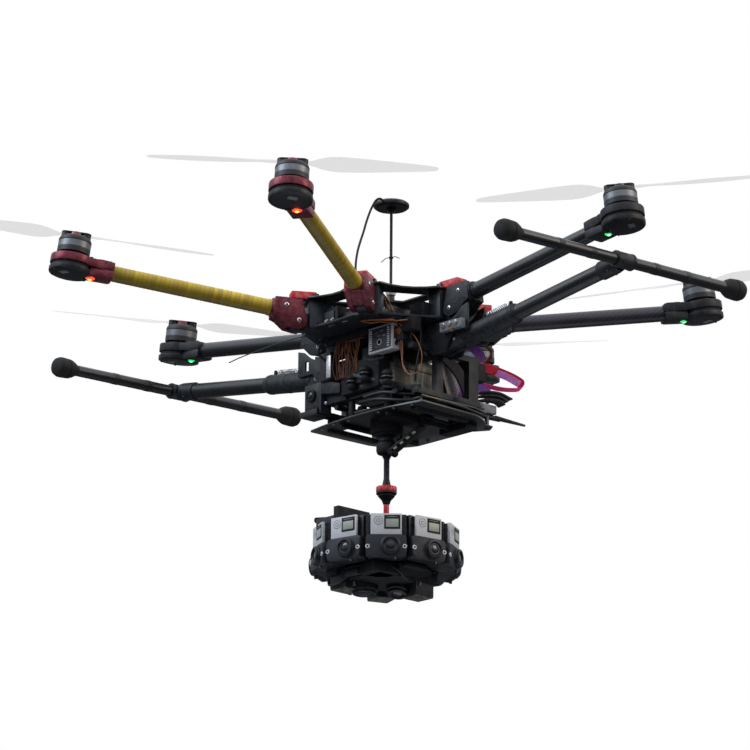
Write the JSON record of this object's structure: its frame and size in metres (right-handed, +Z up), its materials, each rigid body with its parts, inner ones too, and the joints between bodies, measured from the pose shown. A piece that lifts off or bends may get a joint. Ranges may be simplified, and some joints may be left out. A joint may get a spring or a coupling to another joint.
{
  "type": "hexacopter drone",
  "caption": "Folding six-rotor camera drone with raised retractable landing gear, belly battery and a ring of action cameras on a drop rod.",
  "frame": {"origin": "on the floor, at the centre of the airframe seen from above, level with the camera rig's lowest face", "axes": "+Z up; -Y is the nose, between the two yellow arms; +X is the drone's left side"},
  "size_m": [1.1455, 1.0471, 0.5684],
  "materials": {
    "maroon_anodised": "satin anodised, dark maroon",
    "moulded_black": "fine moulded grain",
    "yellow_wrap": "mustard tape wound round the tube",
    "carbon_tube": "satin carbon fibre tube",
    "carbon_plate": "satin carbon fibre sheet",
    "motor_black": "black anodised, turned",
    "blade_smoke": "smoke-tinted translucent nylon",
    "red_plastic": "bright red moulding",
    "controller_black": "matte case",
    "puck_black": "satin black case",
    "cable_black": "soft black jacket",
    "battery_wrap": "silver-grey shrink wrap",
    "rod_black": "black anodised",
    "camera_silver": "silver-grey camera bodies",
    "red_anodised": "red anodised, knurled"
  },
  "bodies": {
    "airframe": {"top_plate": "carbon_plate", "frame_core": "moulded_black", "flight_controller": "controller_black", "gps_mast": "carbon_tube", "gps_puck": "puck_black", "gps_cable": "cable_black", "battery": "battery_wrap", "battery_tray": "carbon_plate", "payload_plate": "carbon_plate", "gear_beam": "moulded_black", "payload_rod": "rod_black", "rig_frame": "moulded_black", "camera_ring": "camera_silver"},
    "mid_left_arm": {"mid_left_knuckle": "moulded_black", "mid_left_tube": "carbon_tube", "mid_left_motor_mount": "moulded_black"},
    "mid_left_rotor": {"mid_left_rotor": "motor_black"},
    "mid_left_blade_a": {"mid_left_blade_a": "blade_smoke"},
    "mid_left_blade_b": {"mid_left_blade_b": "blade_smoke"},
    "mid_left_clip": {"mid_left_clip": "red_plastic"},
    "rear_left_arm": {"rear_left_knuckle": "moulded_black", "rear_left_tube": "carbon_tube", "rear_left_motor_mount": "moulded_black"},
    "rear_left_rotor": {"rear_left_rotor": "motor_black"},
    "rear_left_blade_a": {"rear_left_blade_a": "blade_smoke"},
    "rear_left_blade_b": {"rear_left_blade_b": "blade_smoke"},
    "rear_left_clip": {"rear_left_clip": "red_plastic"},
    "rear_right_arm": {"rear_right_knuckle": "moulded_black", "rear_right_tube": "carbon_tube", "rear_right_motor_mount": "moulded_black"},
    "rear_right_rotor": {"rear_right_rotor": "motor_black"},
    "rear_right_blade_a": {"rear_right_blade_a": "blade_smoke"},
    "rear_right_blade_b": {"rear_right_blade_b": "blade_smoke"},
    "rear_right_clip": {"rear_right_clip": "red_plastic"},
    "mid_right_arm": {"mid_right_knuckle": "moulded_black", "mid_right_tube": "carbon_tube", "mid_right_motor_mount": "moulded_black"},
    "mid_right_rotor": {"mid_right_rotor": "motor_black"},
    "mid_right_blade_a": {"mid_right_blade_a": "blade_smoke"},
    "mid_right_blade_b": {"mid_right_blade_b": "blade_smoke"},
    "mid_right_clip": {"mid_right_clip": "red_plastic"},
    "front_right_arm": {"front_right_knuckle": "maroon_anodised", "front_right_tube": "yellow_wrap", "front_right_motor_mount": "maroon_anodised"},
    "front_right_rotor": {"front_right_rotor": "motor_black"},
    "front_right_blade_a": {"front_right_blade_a": "blade_smoke"},
    "front_right_blade_b": {"front_right_blade_b": "blade_smoke"},
    "front_right_clip": {"front_right_clip": "red_plastic"},
    "front_left_arm": {"front_left_knuckle": "maroon_anodised", "front_left_tube": "yellow_wrap", "front_left_motor_mount": "maroon_anodised"},
    "front_left_rotor": {"front_left_rotor": "motor_black"},
    "front_left_blade_a": {"front_left_blade_a": "blade_smoke"},
    "front_left_blade_b": {"front_left_blade_b": "blade_smoke"},
    "front_left_clip": {"front_left_clip": "red_plastic"},
    "leg_left": {"leg_left": "moulded_black", "skid_left": "carbon_tube"},
    "leg_right": {"leg_right": "moulded_black", "skid_right": "carbon_tube"},
    "quick_release_knob": {"quick_release_knob": "red_anodised"}
  },
  "joints": [
    {"name": "mid_left_arm_fold", "type": "hinge", "parent": "airframe", "child": "mid_left_arm", "pos_m": [0.132, 0, 0.384], "axis": [0, 1, 0], "range_deg": [0, 5]},
    {"name": "rear_left_arm_fold", "type": "hinge", "parent": "airframe", "child": "rear_left_arm", "pos_m": [0.066, 0.11431, 0.384], "axis": [-0.866, 0.5, 0], "range_deg": [0, 85]},
    {"name": "rear_right_arm_fold", "type": "hinge", "parent": "airframe", "child": "rear_right_arm", "pos_m": [-0.066, 0.11431, 0.384], "axis": [-0.866, -0.5, 0], "range_deg": [0, 85]},
    {"name": "mid_right_arm_fold", "type": "hinge", "parent": "airframe", "child": "mid_right_arm", "pos_m": [-0.132, 0, 0.384], "axis": [0, -1, 0], "range_deg": [0, 5]},
    {"name": "front_right_arm_fold", "type": "hinge", "parent": "airframe", "child": "front_right_arm", "pos_m": [-0.066, -0.11431, 0.384], "axis": [0.866, -0.5, 0], "range_deg": [0, 85]},
    {"name": "front_left_arm_fold", "type": "hinge", "parent": "airframe", "child": "front_left_arm", "pos_m": [0.066, -0.11431, 0.384], "axis": [0.866, 0.5, 0], "range_deg": [0, 85]},
    {"name": "leg_left_retract", "type": "hinge", "parent": "airframe", "child": "leg_left", "pos_m": [0.11, 0, 0.335], "axis": [0, 1, 0], "range_deg": [0, 84]},
    {"name": "leg_right_retract", "type": "hinge", "parent": "airframe", "child": "leg_right", "pos_m": [-0.11, 0, 0.335], "axis": [0, -1, 0], "range_deg": [0, 84]},
    {"name": "quick_release_turn", "type": "hinge", "parent": "airframe", "child": "quick_release_knob", "pos_m": [0, -0.006, 0.15], "axis": [0, 0, 1], "range_deg": [0, 180]},
    {"name": "mid_left_rotor_spin", "type": "hinge", "parent": "mid_left_arm", "child": "mid_left_rotor", "pos_m": [0.45, 0, 0.43], "axis": [-0.1426, 0, 0.9898], "continuous": true},
    {"name": "rear_left_rotor_spin", "type": "hinge", "parent": "rear_left_arm", "child": "rear_left_rotor", "pos_m": [0.225, 0.38971, 0.43], "axis": [-0.0713, -0.1235, 0.9898], "continuous": true},
    {"name": "rear_right_rotor_spin", "type": "hinge", "parent": "rear_right_arm", "child": "rear_right_rotor", "pos_m": [-0.225, 0.38971, 0.43], "axis": [0.0713, -0.1235, 0.9898], "continuous": true},
    {"name": "mid_right_rotor_spin", "type": "hinge", "parent": "mid_right_arm", "child": "mid_right_rotor", "pos_m": [-0.45, 0, 0.43], "axis": [0.1426, 0, 0.9898], "continuous": true},
    {"name": "front_right_rotor_spin", "type": "hinge", "parent": "front_right_arm", "child": "front_right_rotor", "pos_m": [-0.225, -0.38971, 0.43], "axis": [0.0713, 0.1235, 0.9898], "continuous": true},
    {"name": "front_left_rotor_spin", "type": "hinge", "parent": "front_left_arm", "child": "front_left_rotor", "pos_m": [0.225, -0.38971, 0.43], "axis": [-0.0713, 0.1235, 0.9898], "continuous": true},
    {"name": "mid_left_clip_lift", "type": "hinge", "parent": "airframe", "child": "mid_left_clip", "pos_m": [0.108, 0, 0.4215], "axis": [0, -1, 0], "range_deg": [0, 100]},
    {"name": "rear_left_clip_lift", "type": "hinge", "parent": "airframe", "child": "rear_left_clip", "pos_m": [0.054, 0.09353, 0.4215], "axis": [0.866, -0.5, 0], "range_deg": [0, 100]},
    {"name": "rear_right_clip_lift", "type": "hinge", "parent": "airframe", "child": "rear_right_clip", "pos_m": [-0.054, 0.09353, 0.4215], "axis": [0.866, 0.5, 0], "range_deg": [0, 100]},
    {"name": "mid_right_clip_lift", "type": "hinge", "parent": "airframe", "child": "mid_right_clip", "pos_m": [-0.108, 0, 0.4215], "axis": [0, 1, 0], "range_deg": [0, 100]},
    {"name": "front_right_clip_lift", "type": "hinge", "parent": "airframe", "child": "front_right_clip", "pos_m": [-0.054, -0.09353, 0.4215], "axis": [-0.866, 0.5, 0], "range_deg": [0, 100]},
    {"name": "front_left_clip_lift", "type": "hinge", "parent": "airframe", "child": "front_left_clip", "pos_m": [0.054, -0.09353, 0.4215], "axis": [-0.866, -0.5, 0], "range_deg": [0, 100]},
    {"name": "mid_left_blade_a_fold", "type": "hinge", "parent": "mid_left_rotor", "child": "mid_left_blade_a", "pos_m": [0.45143, 0.01024, 0.48704], "axis": [-0.1426, 0, 0.9898], "range_deg": [-85, 85]},
    {"name": "mid_left_blade_b_fold", "type": "hinge", "parent": "mid_left_rotor", "child": "mid_left_blade_b", "pos_m": [0.43253, -0.01024, 0.48431], "axis": [-0.1426, 0, 0.9898], "range_deg": [-85, 85]},
    {"name": "rear_left_blade_a_fold", "type": "hinge", "parent": "rear_left_rotor", "child": "rear_left_blade_a", "pos_m": [0.23047, 0.39288, 0.48762], "axis": [-0.0713, -0.1235, 0.9898], "range_deg": [-85, 85]},
    {"name": "rear_left_blade_b_fold", "type": "hinge", "parent": "rear_left_rotor", "child": "rear_left_blade_b", "pos_m": [0.21151, 0.37265, 0.48373], "axis": [-0.0713, -0.1235, 0.9898], "range_deg": [-85, 85]},
    {"name": "rear_right_blade_a_fold", "type": "hinge", "parent": "rear_right_rotor", "child": "rear_right_blade_a", "pos_m": [-0.21142, 0.39297, 0.48626], "axis": [0.0713, -0.1235, 0.9898], "range_deg": [-85, 85]},
    {"name": "rear_right_blade_b_fold", "type": "hinge", "parent": "rear_right_rotor", "child": "rear_right_blade_b", "pos_m": [-0.23056, 0.37256, 0.48509], "axis": [0.0713, -0.1235, 0.9898], "range_deg": [-85, 85]},
    {"name": "mid_right_blade_a_fold", "type": "hinge", "parent": "mid_right_rotor", "child": "mid_right_blade_a", "pos_m": [-0.43253, 0.01024, 0.48431], "axis": [0.1426, 0, 0.9898], "range_deg": [-85, 85]},
    {"name": "mid_right_blade_b_fold", "type": "hinge", "parent": "mid_right_rotor", "child": "mid_right_blade_b", "pos_m": [-0.45143, -0.01024, 0.48704], "axis": [0.1426, 0, 0.9898], "range_deg": [-85, 85]},
    {"name": "front_right_blade_a_fold", "type": "hinge", "parent": "front_right_rotor", "child": "front_right_blade_a", "pos_m": [-0.21151, -0.37265, 0.48373], "axis": [0.0713, 0.1235, 0.9898], "range_deg": [-85, 85]},
    {"name": "front_right_blade_b_fold", "type": "hinge", "parent": "front_right_rotor", "child": "front_right_blade_b", "pos_m": [-0.23047, -0.39288, 0.48762], "axis": [0.0713, 0.1235, 0.9898], "range_deg": [-85, 85]},
    {"name": "front_left_blade_a_fold", "type": "hinge", "parent": "front_left_rotor", "child": "front_left_blade_a", "pos_m": [0.23056, -0.37256, 0.48509], "axis": [-0.0713, 0.1235, 0.9898], "range_deg": [-85, 85]},
    {"name": "front_left_blade_b_fold", "type": "hinge", "parent": "front_left_rotor", "child": "front_left_blade_b", "pos_m": [0.21142, -0.39297, 0.48626], "axis": [-0.0713, 0.1235, 0.9898], "range_deg": [-85, 85]}
  ]
}
